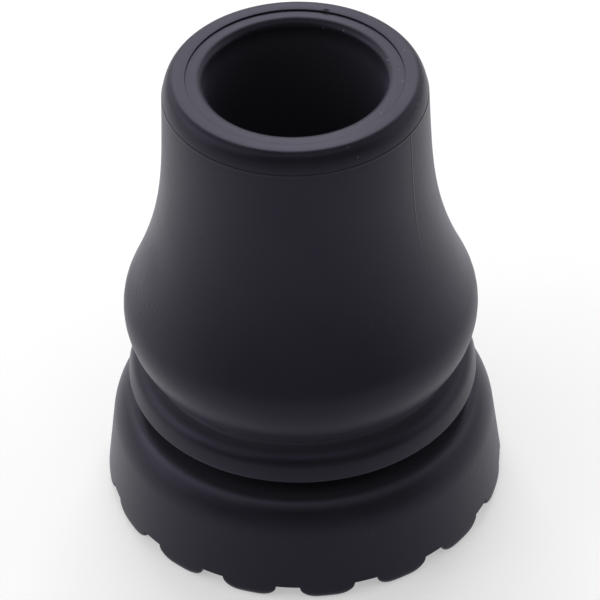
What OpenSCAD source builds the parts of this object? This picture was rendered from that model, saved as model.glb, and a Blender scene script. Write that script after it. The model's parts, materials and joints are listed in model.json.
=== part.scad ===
// Push-on rubber tip for a walking cane.
// One moulded piece: a socket for the cane, a flared neck over a round bulge,
// a flex groove under a collar, and a wide base on a ring of tread lugs.
// Every height is measured from the ground up, in millimetres.

/* [Socket] */
// Diameter of the cane that the socket grips
bore_d = 19; // [15.9:0.1:22.3]
// Depth of the socket below the top face
bore_depth = 38; // [28:0.5:42]
// Radius of the soft edge at the socket's mouth
mouth_round = 0.9; // [0.3:0.1:1.2]
// Radius between the socket's floor and its wall
floor_round = 1; // [0.4:0.1:2]
// Width of the sunk land around the mouth
land_w = 1.85; // [1.3:0.05:2.4]
// Depth of the sunk land below the top face
land_step = 0.3; // [0.1:0.05:0.6]

/* [Neck] */
// Outer diameter that the neck's leaning wall would have at the top face
neck_d = 27.6; // [26.6:0.1:30]
// Lean of the neck's wall from upright, in degrees
neck_lean = 2.3; // [0:0.1:5]
// Height of the neck's straight stretch and rim together
neck_straight = 4.9; // [3.6:0.1:8]
// Height of the rounded rim
rim_h = 3; // [2:0.1:3.4]
// Width of the rounded rim
rim_w = 1.3; // [0.8:0.1:1.7]
// How far the rim's curve keeps the slope of the neck
rim_pull_side = 1.7; // [1:0.1:1.9]
// How far the rim's curve keeps the slope of the top face
rim_pull_top = 0.8; // [0.4:0.05:1]

/* [Flare and bulge] */
// Height from the bulge's widest ring to the top face
neck_rise = 30.6; // [26:0.1:36]
// Diameter of the bulge at its widest ring
bulge_d = 38.6; // [36.5:0.1:41]
// Radius of the bulge's side above the widest ring
bulge_round_top = 6.5; // [5:0.1:8]
// Radius of the bulge's side below the widest ring
bulge_round_low = 7.3; // [6.8:0.1:9]
// Angle above the widest ring at which the flare leaves the bulge, in degrees
flare_angle = 25; // [18:1:32]
// How far the flare's curve keeps the slope of the neck
flare_pull_top = 7.6; // [3:0.1:9]
// How far the flare's curve keeps the slope of the bulge
flare_pull_low = 9.8; // [5:0.1:12]

/* [Collar] */
// Height from the collar's top to the bulge's widest ring
bulge_rise = 7; // [6.2:0.1:7.4]
// Radius of the valley between the bulge and the collar
valley_round = 1; // [0.5:0.05:1.5]
// Width of the flat ring on the collar's top
collar_flat = 0.2; // [0.1:0.05:1]
// Height of the collar
collar_h = 2.5; // [2:0.1:3.2]
// Lean of the collar's wall from upright, in degrees
collar_lean = 10; // [0:1:15]
// Radius of the collar's top edge
collar_round = 1.15; // [0.6:0.05:1.4]
// Radius of the collar's lower edge
collar_edge_round = 0.3; // [0.1:0.05:0.5]

/* [Flex groove] */
// Height of the groove between the base and the collar
groove_h = 2.6; // [1.6:0.1:3.6]
// Diameter of the core inside the groove
core_d = 30; // [28:0.5:33]

/* [Base] */
// Height from the tread's roof to the groove
base_h = 10.5; // [9:0.1:12]
// Outer diameter at the tread's roof
base_d = 44.4; // [43:0.1:47]
// Lean of the base's wall from upright, in degrees
base_lean = 7.5; // [4:0.5:9]
// Radius of the base's shoulder
shoulder_round = 9; // [6:0.1:10]
// Angle at which the shoulder runs into the groove's edge, in degrees
shoulder_turn = 35; // [25:1:45]
// Radius of the edge between the shoulder and the groove
groove_edge_round = 1.3; // [0.6:0.1:1.6]

/* [Tread] */
// Number of lugs around the edge
lug_count = 16; // [12:1:20]
// Height of the lugs and rings that meet the ground
tread_h = 1.8; // [1.2:0.1:2.6]
// Width of the gap between two lugs at its roof
lug_gap = 2.7; // [2:0.1:3.4]
// Width of each lug's rounded lower corners, seen from outside
lug_corner_w = 1.9; // [0.6:0.1:2]
// Height of a lug's upright side above its rounded corners
lug_side = 0.2; // [0.1:0.05:0.6]
// Radius of the ground edge all round
ground_round = 1; // [0.3:0.1:1.2]
// Length of a lug from the outside inwards
lug_length = 5; // [4:0.1:7]
// Width of each ring-shaped channel in the tread
channel_w = 2.4; // [1.5:0.1:3]
// Width of the ring between the two channels
ring_w = 4; // [2.5:0.1:5]

/* [Hidden] */

rubber = [0.115, 0.112, 0.13];
// Largest turn from one outline point to the next along a round stretch, in degrees
arc_step = 15;
// Points along the flare and along the rim
flare_steps = 12;
rim_steps = 7;
// Facets of a full turn
turn_facets = 64;
// Overlap that lets a cut pass right through a face
cut_over = 1;
// How far the outer channel reaches past the lugs' inner ends
lug_end_cut = 0.5;

base_top = tread_h + base_h;
groove_top = base_top + groove_h;
collar_top = groove_top + collar_h;
bulge_z = collar_top + bulge_rise;
top_z = bulge_z + neck_rise;

bore_r = bore_d / 2;
rim_r = neck_d / 2 - rim_w;
land_r = min(bore_r + land_w, rim_r);
land_z = top_z - land_step;
socket_floor = top_z - bore_depth;

// Points along an arc about a centre [r, z], from one angle to another
function arc(centre, radius, from, to) =
    let (steps = ceil(abs(to - from) / arc_step))
    [for (i = [0:steps])
        let (angle = from + (to - from) * i / steps)
        centre + radius * [cos(angle), sin(angle)]];

// Points along a cubic curve between p0 and p3
function cubic(p0, p1, p2, p3, steps) =
    [for (i = [0:steps])
        let (t = i / steps)
        pow(1 - t, 3) * p0 + 3 * pow(1 - t, 2) * t * p1 + 3 * (1 - t) * t * t * p2 + t * t * t * p3];

// Centre of an arc that touches the base's wall from inside at a height of its own
function in_base_wall(radius, z) =
    [base_d / 2 - (z - tread_h) * tan(base_lean) - radius / cos(base_lean), z];

// Ground edge: rounds from the ground up to the leaning wall
ground_edge = arc(in_base_wall(ground_round, ground_round), ground_round, -90, base_lean);

// Shoulder: touches the wall and runs over to the edge of the groove.
// Its height puts the top of the groove's edge at base_top.
edge_rise = (shoulder_round - groove_edge_round) * sin(shoulder_turn) + groove_edge_round;
shoulder_centre = in_base_wall(shoulder_round, base_top - edge_rise);
edge_centre = shoulder_centre
    + (shoulder_round - groove_edge_round) * [cos(shoulder_turn), sin(shoulder_turn)];
shoulder = concat(
    arc(shoulder_centre, shoulder_round, base_lean, shoulder_turn),
    arc(edge_centre, groove_edge_round, shoulder_turn, 90));

// Groove: two flat walls and a fully round bottom
groove_round = groove_h / 2;
groove = arc([core_d / 2 + groove_round, base_top + groove_round], groove_round, 270, 90);

// Bulge: two arcs that meet at the widest ring
bulge_low_centre = [bulge_d / 2 - bulge_round_low, bulge_z];
bulge_top_centre = [bulge_d / 2 - bulge_round_top, bulge_z];

// Valley: a hollow round that touches the bulge's underside and the collar's top
valley_rise = bulge_rise - valley_round;
valley_reach = bulge_round_low + valley_round;
valley_centre = [
    bulge_low_centre[0] + sqrt(pow(valley_reach, 2) - pow(valley_rise, 2)),
    collar_top + valley_round];
bulge_low_angle = -asin(valley_rise / valley_reach);
valley = arc(valley_centre, valley_round, 270, 180 + bulge_low_angle);
bulge = concat(
    arc(bulge_low_centre, bulge_round_low, bulge_low_angle, 0),
    arc(bulge_top_centre, bulge_round_top, 0, flare_angle));

// Collar: rounded top edge, leaning wall and lower edge
collar_top_centre = [valley_centre[0] + collar_flat, collar_top - collar_round];
collar_low_z = groove_top + collar_edge_round;
collar_low_centre = [
    collar_top_centre[0]
        + (collar_round - collar_edge_round) / cos(collar_lean)
        + (collar_top_centre[1] - collar_low_z) * tan(collar_lean),
    collar_low_z];
collar = concat(
    arc(collar_low_centre, collar_edge_round, -90, collar_lean),
    arc(collar_top_centre, collar_round, collar_lean, 90));

// Neck: a straight leaning wall between the flare and the rim
function neck_wall(drop) = [neck_d / 2 + drop * tan(neck_lean), top_z - drop];
neck_up = [-sin(neck_lean), cos(neck_lean)];

// Flare: leaves the bulge along its side and joins the neck along its lean
flare_low = bulge[len(bulge) - 1];
flare_top = neck_wall(neck_straight);
flare = cubic(
    flare_low,
    flare_low + flare_pull_low * [-sin(flare_angle), cos(flare_angle)],
    flare_top - flare_pull_top * neck_up,
    flare_top,
    flare_steps);

// Rim: rounds tighter and tighter from the neck's wall over to the top face
rim_low = neck_wall(rim_h);
rim = cubic(
    rim_low,
    rim_low + rim_pull_side * neck_up,
    [rim_r + rim_pull_top, top_z],
    [rim_r, top_z],
    rim_steps);

// The solid form before anything is cut from it
module blank() {
    rotate_extrude($fn = turn_facets)
        polygon(concat(
            [[0, 0]], ground_edge, shoulder, groove, collar, valley, bulge, flare, rim, [[0, top_z]]));
}

// Socket: a blind bore with a soft mouth, in a land sunk below the top face
module socket() {
    translate([0, 0, socket_floor + floor_round])
        cylinder(h = bore_depth, r = bore_r, $fn = turn_facets);
    rotate_extrude($fn = turn_facets)
        polygon(concat(
            [[0, socket_floor]],
            arc([bore_r - floor_round, socket_floor + floor_round], floor_round, -90, 0),
            [[0, socket_floor + floor_round]]));
    rotate_extrude($fn = turn_facets)
        polygon(concat(
            [[0, land_z - mouth_round]],
            arc([bore_r + mouth_round, land_z - mouth_round], mouth_round, 180, 90),
            [[land_r, land_z], [land_r, top_z + cut_over], [0, top_z + cut_over]]));
}

// One gap between two lugs: flat roof, and sides that round over to the ground
module lug_gap_cut() {
    half = lug_gap / 2;
    corner_h = tread_h - lug_side;
    side = concat(
        [[half + lug_corner_w, -cut_over]],
        [for (p = arc([1, 1], 1, 270, 180)) [half + lug_corner_w * p[0], corner_h * p[1]]],
        [[half, tread_h]]);
    other_side = [for (i = [len(side) - 1:-1:0]) [-side[i][0], side[i][1]]];
    translate([0, -(base_d / 2 - lug_length), 0])
        rotate([90, 0, 0])
            linear_extrude(lug_length + cut_over)
                polygon(concat(side, other_side));
}

// A ring-shaped channel in the tread, given by its outer radius
module channel(outer_r) {
    rotate_extrude($fn = turn_facets)
        translate([outer_r - channel_w, -cut_over])
            square([channel_w, cut_over + tread_h]);
}

// Tread: gaps between the lugs, and two channels with a ring between them
module tread_cuts() {
    outer_channel_r = base_d / 2 - lug_length + lug_end_cut;
    for (i = [0:lug_count - 1])
        rotate([0, 0, (i + 0.5) * 360 / lug_count])
            lug_gap_cut();
    channel(outer_channel_r);
    channel(outer_channel_r - channel_w - ring_w);
}

module rubber_tip() {
    color(rubber)
        difference() {
            blank();
            socket();
            tread_cuts();
        }
}

rubber_tip();
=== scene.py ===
"""A push-on rubber tip for a walking cane, standing on a pale floor in soft studio light."""

import math
import json

import bmesh
import bpy
from mathutils import Matrix, Vector


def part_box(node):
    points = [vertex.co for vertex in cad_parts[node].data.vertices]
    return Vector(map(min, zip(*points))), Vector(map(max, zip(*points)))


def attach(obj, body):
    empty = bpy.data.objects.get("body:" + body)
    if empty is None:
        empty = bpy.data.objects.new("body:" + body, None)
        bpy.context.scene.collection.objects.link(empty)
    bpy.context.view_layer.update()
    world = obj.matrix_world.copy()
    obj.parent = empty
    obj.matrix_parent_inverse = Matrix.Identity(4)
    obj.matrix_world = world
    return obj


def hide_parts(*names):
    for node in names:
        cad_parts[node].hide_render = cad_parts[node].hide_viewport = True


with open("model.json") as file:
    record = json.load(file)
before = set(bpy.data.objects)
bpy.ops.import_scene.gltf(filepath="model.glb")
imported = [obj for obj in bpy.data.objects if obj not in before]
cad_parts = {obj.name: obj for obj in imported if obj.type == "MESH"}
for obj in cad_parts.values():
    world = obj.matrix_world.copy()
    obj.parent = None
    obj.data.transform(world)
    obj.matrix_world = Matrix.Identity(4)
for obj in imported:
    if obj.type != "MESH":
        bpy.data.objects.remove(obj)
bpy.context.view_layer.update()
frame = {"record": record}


# The camera stands a little to the left of the lug that points along -Y and looks down
# on the tip with a long lens, so that upright walls stay nearly parallel.

mm = 0.001
tip_low, tip_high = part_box("rubber_tip")
view_turn = math.radians(-5.4)
view_height = math.radians(41.4)
view_roll = math.radians(1.55)
view_distance = 350 * mm
aim_aside = -0.09 * mm
aim_height = 0.4375 * tip_high.z

camera = bpy.data.objects.new("camera", bpy.data.cameras.new("camera"))
bpy.context.scene.collection.objects.link(camera)
camera.data.sensor_width = 36
camera.data.lens = 192
camera.data.clip_start = 10 * mm
camera.data.clip_end = 20
to_camera = Vector((math.sin(view_turn), -math.cos(view_turn), 0)) * math.cos(view_height)
to_camera.z = math.sin(view_height)
aim = Matrix.Rotation(view_turn, 3, "Z") @ Vector((aim_aside, 0, 0)) + Vector((0, 0, aim_height))
camera.location = aim + to_camera * view_distance
level_look = (-to_camera).to_track_quat("-Z", "Y").to_matrix()
camera.rotation_euler = (level_look @ Matrix.Rotation(-view_roll, 3, "Z")).to_euler()
bpy.context.scene.camera = camera


# Studio: a plain white floor, with lamps overhead, in front, behind and to both sides.
# The rubber mirrors them in its satin skin, so their places set its highlights.

bpy.context.scene.view_settings.view_transform = "Standard"

floor_size = 1.6
floor_tone = 0.56
floor_roughness = 0.9
floor_glow = 0.42
plain_sky = 0.07
white_sky = 1.0
lamp_distance = 1.2


class Socket:
    """An output of a shader node that can be used in plain arithmetic."""

    def __init__(self, tree, output):
        self.tree = tree
        self.output = output

    def node(self, kind, settings, inputs, output=0):
        """Adds a node of any kind: its settings first, then its inputs by place or name."""
        new = self.tree.nodes.new(kind)
        for name, value in settings.items():
            setattr(new, name, value)
        for place, value in inputs.items():
            if isinstance(value, Socket):
                value.feed(new.inputs[place])
            else:
                new.inputs[place].default_value = value
        return Socket(self.tree, new.outputs[output])

    def also(self, output):
        """Another output of the same node."""
        return Socket(self.tree, self.output.node.outputs[output])

    def feed(self, target):
        """Links this output to an input."""
        self.tree.links.new(self.output, target)

    def maths(self, operation, first, second=0.0):
        return self.node("ShaderNodeMath", {"operation": operation}, {0: first, 1: second})

    def __add__(self, other):
        return self.maths("ADD", self, other)

    def __radd__(self, other):
        return self.maths("ADD", other, self)

    def __sub__(self, other):
        return self.maths("SUBTRACT", self, other)

    def __rsub__(self, other):
        return self.maths("SUBTRACT", other, self)

    def __mul__(self, other):
        return self.maths("MULTIPLY", self, other)

    def __rmul__(self, other):
        return self.maths("MULTIPLY", other, self)

    def __abs__(self):
        return self.maths("ABSOLUTE", self)

    def fade(self, start, end):
        """Runs softly from 0 at the start to 1 at the end."""
        return self.node("ShaderNodeMapRange", {"interpolation_type": "SMOOTHSTEP"},
                         {"Value": self, "From Min": start, "From Max": end})

    def band(self, start, full, last, end):
        """1 between the two middle values, softly down to 0 at the outer two."""
        return self.fade(start, full) * self.fade(end, last)

    def noise(self, size, detail):
        """Cloudy noise whose lumps are about that many millimetres across."""
        return self.node("ShaderNodeTexNoise", {}, {"Vector": self, "Scale": 1 / size, "Detail": detail})

    def ticks(self, size, width, share):
        """1 on scattered marks: cells of that size, a share of which hold a mark that wide."""
        cells = self.node("ShaderNodeTexVoronoi", {}, {"Vector": self, "Scale": 1 / size}, "Distance")
        lot = self.node("ShaderNodeSeparateColor", {}, {0: cells.also("Color")})
        return cells.fade(0.5 * width / size, 0.3 * width / size) * lot.fade(1 - share, 1.02 - share)

    def near(self, point, radius):
        """1 at a point of the tip, softly down to 0 at the radius, all in millimetres."""
        gap = self.node("ShaderNodeVectorMath", {"operation": "DISTANCE"}, {0: self, 1: point}, "Value")
        return gap.fade(radius, 0.0)

    def mix(self, low, high):
        """Goes from one colour to another as this value goes from 0 to 1."""
        return self.node("ShaderNodeMix", {"data_type": "RGBA"}, {0: self, 6: low, 7: high}, 2)


def seen_by(tree, other_rays):
    """1 for camera rays and for the other kinds of ray that are named, 0 for the rest."""
    seen = path = Socket(tree, tree.nodes.new("ShaderNodeLightPath").outputs["Is Camera Ray"])
    for kind in other_rays:
        seen = seen.maths("MAXIMUM", seen, path.also(kind))
    return seen


bpy.ops.mesh.primitive_plane_add(size=floor_size, location=(0, 0, tip_low.z))
floor = bpy.context.object
floor.name = "floor"
floor_paint = bpy.data.materials.new("floor_paint")
floor_paint.use_nodes = True
paint = floor_paint.node_tree.nodes["Principled BSDF"]
paint.inputs["Base Color"].default_value = (floor_tone, floor_tone, floor_tone, 1)
paint.inputs["Roughness"].default_value = floor_roughness
paint.inputs["Emission Strength"].default_value = floor_glow
glows_for = seen_by(floor_paint.node_tree, ("Is Glossy Ray", "Is Transmission Ray"))
glows_for.feed(paint.inputs["Emission Color"])
floor.data.materials.append(floor_paint)

world = bpy.data.worlds.new("studio")
bpy.context.scene.world = world
world.use_nodes = True
sky = world.node_tree.nodes["Background"]
sky.inputs["Color"].default_value = (1, 1, 1, 1)
white_for = seen_by(world.node_tree, ("Is Transmission Ray",))
sky_level = white_for.node(
    "ShaderNodeMapRange", {}, {"Value": white_for, "To Min": plain_sky, "To Max": white_sky})
sky_level.feed(sky.inputs["Strength"])


def softbox(name, turn, height, wide, tall, level):
    """Sets a lamp round the tip. Angles are in degrees, and turn starts at the camera's side."""
    size = [2 * lamp_distance * math.tan(math.radians(angle / 2)) for angle in (wide, tall)]
    lamp = bpy.data.objects.new(name, bpy.data.lights.new(name, "AREA"))
    lamp.data.shape = "RECTANGLE"
    lamp.data.size, lamp.data.size_y = size
    lamp.data.energy = level * math.pi * size[0] * size[1]
    side = view_turn + math.radians(turn)
    out = Vector((math.sin(side), -math.cos(side), 0)) * math.cos(math.radians(height))
    out.z = math.sin(math.radians(height))
    lamp.location = out * lamp_distance
    lamp.rotation_euler = out.to_track_quat("Z", "Y").to_euler()
    bpy.context.scene.collection.objects.link(lamp)


softbox("lamp_back", turn=180, height=44, wide=42, tall=30, level=4.84)
softbox("lamp_back_low", turn=180, height=18, wide=30, tall=24, level=0.77)
softbox("lamp_back_right", turn=135, height=24, wide=55, tall=32, level=1.32)
softbox("lamp_back_left", turn=-135, height=24, wide=55, tall=32, level=1.87)
softbox("lamp_right", turn=90, height=22, wide=34, tall=36, level=1.26)
softbox("lamp_left", turn=-90, height=22, wide=34, tall=36, level=2.20)
softbox("lamp_right_front", turn=50, height=52, wide=34, tall=36, level=0.50)
softbox("lamp_left_front", turn=-60, height=42, wide=34, tall=36, level=1.21)
softbox("lamp_front", turn=0, height=62, wide=44, tall=24, level=0.99)
softbox("lamp_front_low", turn=0, height=10, wide=60, tall=16, level=0.35)


# The tip: one piece of black rubber, pressed in a two-part mould. Its outline is turned
# round the socket, and one half lug with its gap is shaped, mirrored and set round 16 times.

socket = next(m for m in frame["record"]["mounts"] if m["name"] == "cane_socket")["dims"]
bore_r = socket["r_mm"] * mm
top_z = tip_high.z

tread = 1.8 * mm
lugs = 16
lug_gap = 2.7 * mm
lug_corner_width = 1.9 * mm
lug_side = 0.2 * mm
lug_length = 5.0 * mm
lug_end_cut = 0.5 * mm
channel = 2.4 * mm
ring = 4.0 * mm
tread_edge = 0.3 * mm
ground_round = 1.0 * mm

base_r = 22.2 * mm
base_height = 10.5 * mm
wall_lean = math.radians(7.5)
shoulder_round = 6.0 * mm
shoulder_turn = math.radians(45)
groove_edge = 1.6 * mm
groove_height = 2.6 * mm
core_r = 15.0 * mm

collar_height = 3.3 * mm
collar_flat = -0.55 * mm
collar_lean = math.radians(14)
collar_round = 2.2 * mm
collar_lip = 0.3 * mm
valley_round = 0.5 * mm

bulge_rise = 6.2 * mm
bulge_r = 19.35 * mm
bulge_round_low = 7.3 * mm
bulge_round_top = 6.5 * mm
flare_turn = math.radians(25)
flare_pull_low = 9.8 * mm
flare_pull_top = 7.6 * mm

neck_r = 13.8 * mm
neck_lean = math.radians(2.3)
neck_straight = 4.9 * mm
rim_height = 3.0 * mm
rim_width = 1.3 * mm
rim_pull_side = 1.7 * mm
rim_pull_top = 0.8 * mm
parting_drop = 2.15 * mm
parting_ridge = 0.05 * mm
parting_step = 0.08 * mm
parting_shape = ((0.6, -2.0), (1.0, -1.0), (0.7, -0.3), (-0.3, 0.0))

land_width = 1.85 * mm
land_step = 0.18 * mm
land_edge = 0.06 * mm
mouth_round = 0.9 * mm
socket_depth = 38 * mm
socket_floor_round = 1.0 * mm

quarter = math.pi / 2


def arc(centre, radius, start, end, steps):
    """Points of the outline round a centre, between two angles above the level."""
    turns = [start + (end - start) * i / steps for i in range(steps + 1)]
    return [(centre[0] + radius * math.cos(a), centre[1] + radius * math.sin(a)) for a in turns]


def sweep(p0, p1, p2, p3, steps):
    """Points of the outline along a cubic curve."""
    points = []
    for i in range(steps + 1):
        t = i / steps
        shares = ((1 - t) ** 3, 3 * (1 - t) ** 2 * t, 3 * (1 - t) * t * t, t ** 3)
        points.append(tuple(sum(s * p[k] for s, p in zip(shares, (p0, p1, p2, p3))) for k in (0, 1)))
    return points


def wall(z):
    """Radius of the base's leaning wall at a height."""
    return base_r - (z - tread) * math.tan(wall_lean)


# Underside: two ring channels between the middle and the lugs' inner ends
lug_end = base_r - lug_length + lug_end_cut
outline = [(0, 0)]
for outer in (lug_end - channel - ring, lug_end):
    inner = outer - channel
    outline += arc((inner - tread_edge, tread_edge), tread_edge, -quarter, 0, steps=3)
    outline += [(inner, tread), (outer, tread)]
    outline += arc((outer + tread_edge, tread_edge), tread_edge, 2 * quarter, 3 * quarter, steps=3)

# Ground edge and the foot of the wall, up to a hinge a little over the roof of the gaps
hinge_share = 0.12
hinge_z = tread / (1 - hinge_share)
ground_r = wall(ground_round) - ground_round / math.cos(wall_lean)
outline += arc((ground_r, ground_round), ground_round, -quarter, wall_lean, steps=7)
outline += [(base_r, tread), (wall(hinge_z), hinge_z)]

# Shoulder of the base, and the flex groove over it
base_top = tread + base_height
groove_top = base_top + groove_height
shoulder_z = base_top - groove_edge - (shoulder_round - groove_edge) * math.sin(shoulder_turn)
shoulder_r = wall(shoulder_z) - shoulder_round / math.cos(wall_lean)
edge_r = shoulder_r + (shoulder_round - groove_edge) * math.cos(shoulder_turn)
groove_round = groove_height / 2
groove_middle = (core_r + groove_round, base_top + groove_round)
outline += arc((shoulder_r, shoulder_z), shoulder_round, wall_lean, shoulder_turn, steps=6)
outline += arc((edge_r, base_top - groove_edge), groove_edge, shoulder_turn, quarter, steps=5)[1:]
outline += arc(groove_middle, groove_round, 3 * quarter, quarter, steps=8)

# Collar, valley and bulge. The collar's round and the valley's hollow end where one
# straight line touches both.
collar_top = groove_top + collar_height
bulge_z = collar_top + bulge_rise
bulge_low = (bulge_r - bulge_round_low, bulge_z)
valley_reach = bulge_round_low + valley_round
valley_turn = math.asin((bulge_rise - valley_round) / valley_reach)
valley_r = bulge_low[0] + valley_reach * math.cos(valley_turn)
valley_z = collar_top + valley_round
collar_r = valley_r + collar_flat
collar_z = collar_top - collar_round
lip_z = groove_top + collar_lip
lip_r = collar_r + (collar_round - collar_lip) / math.cos(collar_lean)
lip_r += (collar_z - lip_z) * math.tan(collar_lean)
aside, up = valley_r - collar_r, valley_z - collar_z
meet_turn = math.atan2(up, aside) - math.acos((collar_round + valley_round) / math.hypot(up, aside))
outline += arc((lip_r, lip_z), collar_lip, -quarter, collar_lean, steps=4)
outline += arc((collar_r, collar_z), collar_round, collar_lean, meet_turn, steps=8)
outline += arc((valley_r, valley_z), valley_round,
               2 * quarter + meet_turn, 2 * quarter - valley_turn, steps=10)
outline += arc(bulge_low, bulge_round_low, -valley_turn, 0, steps=7)[1:]
outline += arc((bulge_r - bulge_round_top, bulge_z), bulge_round_top, 0, flare_turn, steps=4)[1:]

# Flare: leaves the bulge along its side and joins the neck along its lean
flare = outline[-1]
flare_pull = (flare[0] - flare_pull_low * math.sin(flare_turn),
              flare[1] + flare_pull_low * math.cos(flare_turn))
neck_foot = (neck_r + neck_straight * math.tan(neck_lean), top_z - neck_straight)
neck_pull = (neck_foot[0] + flare_pull_top * math.sin(neck_lean),
             neck_foot[1] - flare_pull_top * math.cos(neck_lean))
outline += sweep(flare, flare_pull, neck_pull, neck_foot, steps=20)[1:]

# Rim: rounds over from the neck's wall to the top face
rim_r = neck_r - rim_width
rim_foot = (neck_r + rim_height * math.tan(neck_lean), top_z - rim_height)
rim_pull = (rim_foot[0] - rim_pull_side * math.sin(neck_lean),
            rim_foot[1] + rim_pull_side * math.cos(neck_lean))
rim = sweep(rim_foot, rim_pull, (rim_r + rim_pull_top, top_z), (rim_r, top_z), steps=12)

# Parting line: below it the rubber stands a little proud, and it rounds over in a small step
parting_z = top_z - parting_drop
below = max(i for i, p in enumerate(rim) if p[1] < parting_z - parting_step)
above = min(i for i, p in enumerate(rim) if p[1] > parting_z + parting_step)
climb = (parting_z - rim[below][1]) / (rim[above][1] - rim[below][1])
parting_r = rim[below][0] + climb * (rim[above][0] - rim[below][0])
rim[below + 1:above] = [(parting_r + parting_ridge * out, parting_z + parting_step * rise)
                        for out, rise in parting_shape]
outline += rim

# Sunk land around the mouth, and the blind socket
land_r = bore_r + land_width
land_z = top_z - land_step
socket_z = top_z - socket_depth
outline += arc((land_r + land_edge, top_z - land_edge), land_edge, quarter, 2 * quarter, steps=3)
outline.append((land_r, land_z))
outline += arc((bore_r + mouth_round, land_z - mouth_round), mouth_round, quarter, 2 * quarter, steps=7)
outline += arc((bore_r - socket_floor_round, socket_z + socket_floor_round), socket_floor_round,
               0, -quarter, steps=4)
outline.append((0, socket_z))

# The outline is drawn as a chain of points, from a plane merged into its first point
bpy.ops.object.select_all(action="DESELECT")
bpy.ops.mesh.primitive_plane_add(size=mm, location=(outline[0][0], 0, outline[0][1]))
tip = bpy.context.object
tip.name = "moulded_tip"
bpy.ops.object.mode_set(mode="EDIT")
bpy.ops.mesh.merge(type="CENTER")
for (r0, z0), (r1, z1) in zip(outline, outline[1:]):
    bpy.ops.mesh.extrude_vertices_move(TRANSFORM_OT_translate={"value": (r1 - r0, 0, z1 - z0)})

# Columns from the middle of a lug to the middle of its gap. Each has its distance from
# the gap's middle and the height of the rubber's underside there.
lug_shares = (0.35, 0.7)
corner_steps = 8
roof_insets = (0.06 * mm, 0.22 * mm, 0.5 * mm, 0.88 * mm)

half_pitch = math.pi / lugs
half_gap = lug_gap / 2
corner_end = half_gap + lug_corner_width
corner_height = tread - lug_side
half_lug = base_r * math.sin(half_pitch) - half_gap
lug_flat = half_lug - lug_corner_width
columns = [(half_gap + half_lug - lug_flat * share, 0.0) for share in lug_shares]
for i in range(corner_steps + 1):
    a = quarter * i / corner_steps
    columns.append((half_gap + lug_corner_width * (1 - math.sin(a)), corner_height * (1 - math.cos(a))))
columns += [(half_gap - inset, tread) for inset in roof_insets] + [(0.0, tread)]
turns = [half_pitch - math.asin(reach / base_r) for reach, rise in columns]

bpy.ops.mesh.select_all(action="SELECT")
for before, turn in zip([0.0] + turns, turns):
    bpy.ops.mesh.spin(steps=1, angle=turn - before, center=(0, 0, 0), axis=(0, 0, 1))

hair = 1e-6
same_turn = 1e-4


def pick(turn, inside, outside):
    """Selects the points below the hinge at that turn and between the two radii."""
    shape = bmesh.from_edit_mesh(tip.data)
    for part in (*shape.faces, *shape.edges):
        part.select = False
    for point in shape.verts:
        x, y, z = point.co
        point.select = (z < hinge_z - hair and inside - hair < math.hypot(x, y) < outside + hair
                        and abs(abs(math.atan2(y, x)) - turn) < same_turn)
    shape.select_flush(True)
    bmesh.update_edit_mesh(tip.data)


# The foot of each column shrinks towards the hinge on the wall. Its inner end shrinks
# towards the roof of the gap, and moves over so that the gap's sides stay parallel.
lowest_y = min(point.co.y for point in bmesh.from_edit_mesh(tip.data).verts)
spin_sign = -1 if lowest_y < -mm else 1
corner_turn = half_pitch - math.asin(corner_end / base_r)
for (reach, rise), turn in zip(columns, turns):
    outwards = Vector((math.cos(turn), spin_sign * math.sin(turn), 0))
    if rise > 0:
        share = 1 - rise / hinge_z
        hinge = outwards * wall(hinge_z) + Vector((0, 0, hinge_z))
        pick(turn, ground_r, 2 * base_r)
        bpy.ops.transform.resize(value=(share, share, share), center_override=hinge)
    pick(turn, lug_end, ground_r - 3 * hair)
    bpy.ops.transform.resize(value=(1, 1, 1 - rise / tread), center_override=(0, 0, tread))
    inner_turn = half_pitch - math.asin(min(reach, corner_end) / lug_end)
    if reach > corner_end:
        inner_turn *= turn / corner_turn
    inner_outwards = Vector((math.cos(inner_turn), spin_sign * math.sin(inner_turn), 0))
    bpy.ops.transform.translate(value=(inner_outwards - outwards) * lug_end)

bpy.ops.mesh.select_all(action="SELECT")
bpy.ops.mesh.duplicate()
bpy.ops.transform.mirror(constraint_axis=(False, True, False), center_override=(0, 0, 0))
bpy.ops.mesh.select_all(action="SELECT")
bpy.ops.mesh.spin(steps=lugs, dupli=True, angle=2 * math.pi, center=(0, 0, 0), axis=(0, 0, 1))
bpy.ops.mesh.select_all(action="SELECT")
bpy.ops.mesh.remove_doubles(threshold=2 * hair)
bpy.ops.mesh.normals_make_consistent(inside=False)
bpy.ops.object.mode_set(mode="OBJECT")
bpy.ops.object.transform_apply(location=True, rotation=True, scale=True)
bpy.ops.object.shade_smooth_by_angle(angle=math.radians(40))

# The rubber: its colours, the depths of its marks, and their places in millimetres
dark_rubber = (0.0056, 0.0055, 0.0060, 1)
pale_rubber = (0.0078, 0.0076, 0.0083, 1)
# painted light: a lighter grey that lifts the shaded socket and hollows
painted_hollow_light_grey = (0.026, 0.025, 0.030, 1)
# painted highlight along the edge of the base's groove
groove_edge_highlight_grey = (0.020, 0.0194, 0.023, 1)
dust_grey = (0.12, 0.12, 0.13, 1)
plain_roughness = 0.36

fine_depth = 0.006
coarse_depth = 0.009
seam_height = 0.03
pit_depth = 0.03
scuff_depth = 0.05
nick_depth = 0.1

top = top_z / mm
parting = parting_z / mm
bore = bore_r / mm
groove_low = base_top / mm
groove_high = groove_top / mm
crease = collar_top / mm
seam_turn = math.radians(-38.4)
scuff_middle = (-17.5, -2.0, 30.0)
nick_place = (4.5, 10.4, top)

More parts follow.
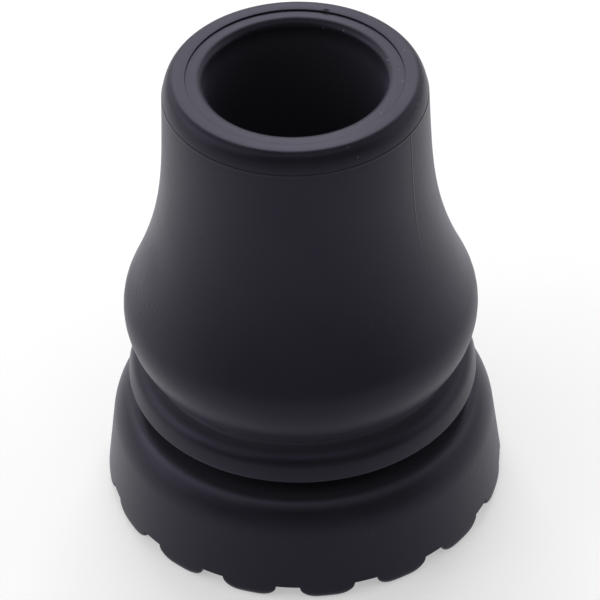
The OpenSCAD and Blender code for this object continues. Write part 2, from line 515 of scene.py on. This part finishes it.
rubber = bpy.data.materials.new("satin_rubber")
rubber.use_nodes = True
tree = rubber.node_tree
metres = Socket(tree, tree.nodes.new("ShaderNodeTexCoord").outputs["Object"])
spot = metres.node("ShaderNodeVectorMath", {"operation": "SCALE"}, {0: metres, "Scale": 1 / mm})
across = spot.node("ShaderNodeSeparateXYZ", {}, {0: spot}, "X")
along, height = across.also("Y"), across.also("Z")
radius = spot.maths("SQRT", across * across + along * along)

# Fine grain of the mould's steel, and the seams where its two halves met on the neck
grain = spot.noise(size=0.25, detail=3.0) * fine_depth + spot.noise(size=1.4, detail=2.0) * coarse_depth
seam_gap = abs(across * math.sin(seam_turn) - along * math.cos(seam_turn))
on_neck = height.band(33.0, 47.0, parting - 0.15, parting + 0.05) * radius.fade(10.0, 11.0)
seam = seam_gap.fade(0.16, 0.02) * on_neck

# Scuffs on one side of the flare, drawn out up and down, and a few trapped-air pits all over
upright = spot.node("ShaderNodeVectorMath", {"operation": "MULTIPLY"}, {0: spot, 1: (1.0, 1.0, 0.4)})
scuffed = spot.near(scuff_middle, radius=8.0).fade(0.0, 0.5)
scuffs = upright.ticks(size=0.8, width=0.36, share=0.6) * scuffed
pits = spot.ticks(size=2.2, width=0.3, share=0.25)

# Nick in the land's edge at the back
nick = spot.near(nick_place, radius=0.6)
relief = grain + seam * seam_height - pits * pit_depth - scuffs * scuff_depth - nick * nick_depth
bump = spot.node("ShaderNodeBump", {}, {"Strength": 1.0, "Distance": mm, "Height": relief})

# Pale dust on the top face, mostly to the right, and a little all over
to_the_right = across.fade(2.0, 9.0)
dust = spot.ticks(size=1.0, width=0.26, share=0.3) * height.fade(top - 3.0, top - 0.4)
dust = dust * (0.3 + to_the_right * 0.7) + spot.ticks(size=2.6, width=0.22, share=0.1) * 0.5

# Painted highlight along the edge of the base's groove, and painted light: a lighter grey in the socket
# and the hollows, where they lie in shade
# Painted highlight: a lighter grey on the groove's lower edge, all the way round
groove_edge_highlight = height.band(groove_low - 1.0, groove_low - 0.4, groove_low - 0.1, groove_low + 0.3)
groove_edge_highlight = groove_edge_highlight * radius.fade(18.9, 19.5)
# Painted light: the socket, the groove and the crease under the bulge are lifted to a lighter grey,
# where shade falls
in_socket = radius.fade(bore + 0.4, bore - 0.1) * height.fade(top - 0.8, top - 3.0)
in_groove = height.band(groove_low - 0.3, groove_low + 0.3, groove_high - 0.2, groove_high + 0.2)
in_crease = height.band(crease - 0.6, crease + 0.2, crease + 0.8, crease + 2.2)
painted_hollow_light = in_socket + in_groove * radius.fade(20.8, 19.4) + in_crease * radius.fade(18.6, 17.8)

# Cloudy tone and sheen, and duller rubber on both sides of the top face, where hands press it on
handled = height.fade(top - 1.0, top - 0.1) * abs(across).fade(4.0, 10.0)
cloud = spot.noise(size=7.0, detail=2.0)
smudge = spot.noise(size=15.0, detail=3.0).fade(0.45, 0.65)
tone = cloud.fade(0.3, 0.7).mix(dark_rubber, pale_rubber)
# the painted light in the hollows and the painted highlight on the groove's edge go into the base colour
tone = groove_edge_highlight.mix(painted_hollow_light.mix(tone, painted_hollow_light_grey), groove_edge_highlight_grey)
colour = dust.mix(tone, dust_grey)
dullness = plain_roughness + cloud * 0.05 + smudge * 0.03 + dust * 0.2
dullness = dullness + scuffed * cloud * 0.1 + painted_hollow_light * 0.1 + handled * 0.06

skin = tree.nodes["Principled BSDF"]
colour.feed(skin.inputs["Base Color"])
dullness.feed(skin.inputs["Roughness"])
bump.feed(skin.inputs["Normal"])
skin.inputs["Specular IOR Level"].default_value = 0.28
skin.inputs["Specular Tint"].default_value = (0.67, 0.64, 1.0, 1)
skin.inputs["Sheen Weight"].default_value = 0.08
skin.inputs["Sheen Roughness"].default_value = 0.5
skin.inputs["Sheen Tint"].default_value = (0.62, 0.59, 1.0, 1)

tip.data.materials.append(rubber)
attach(tip, "root")
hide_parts("rubber_tip")
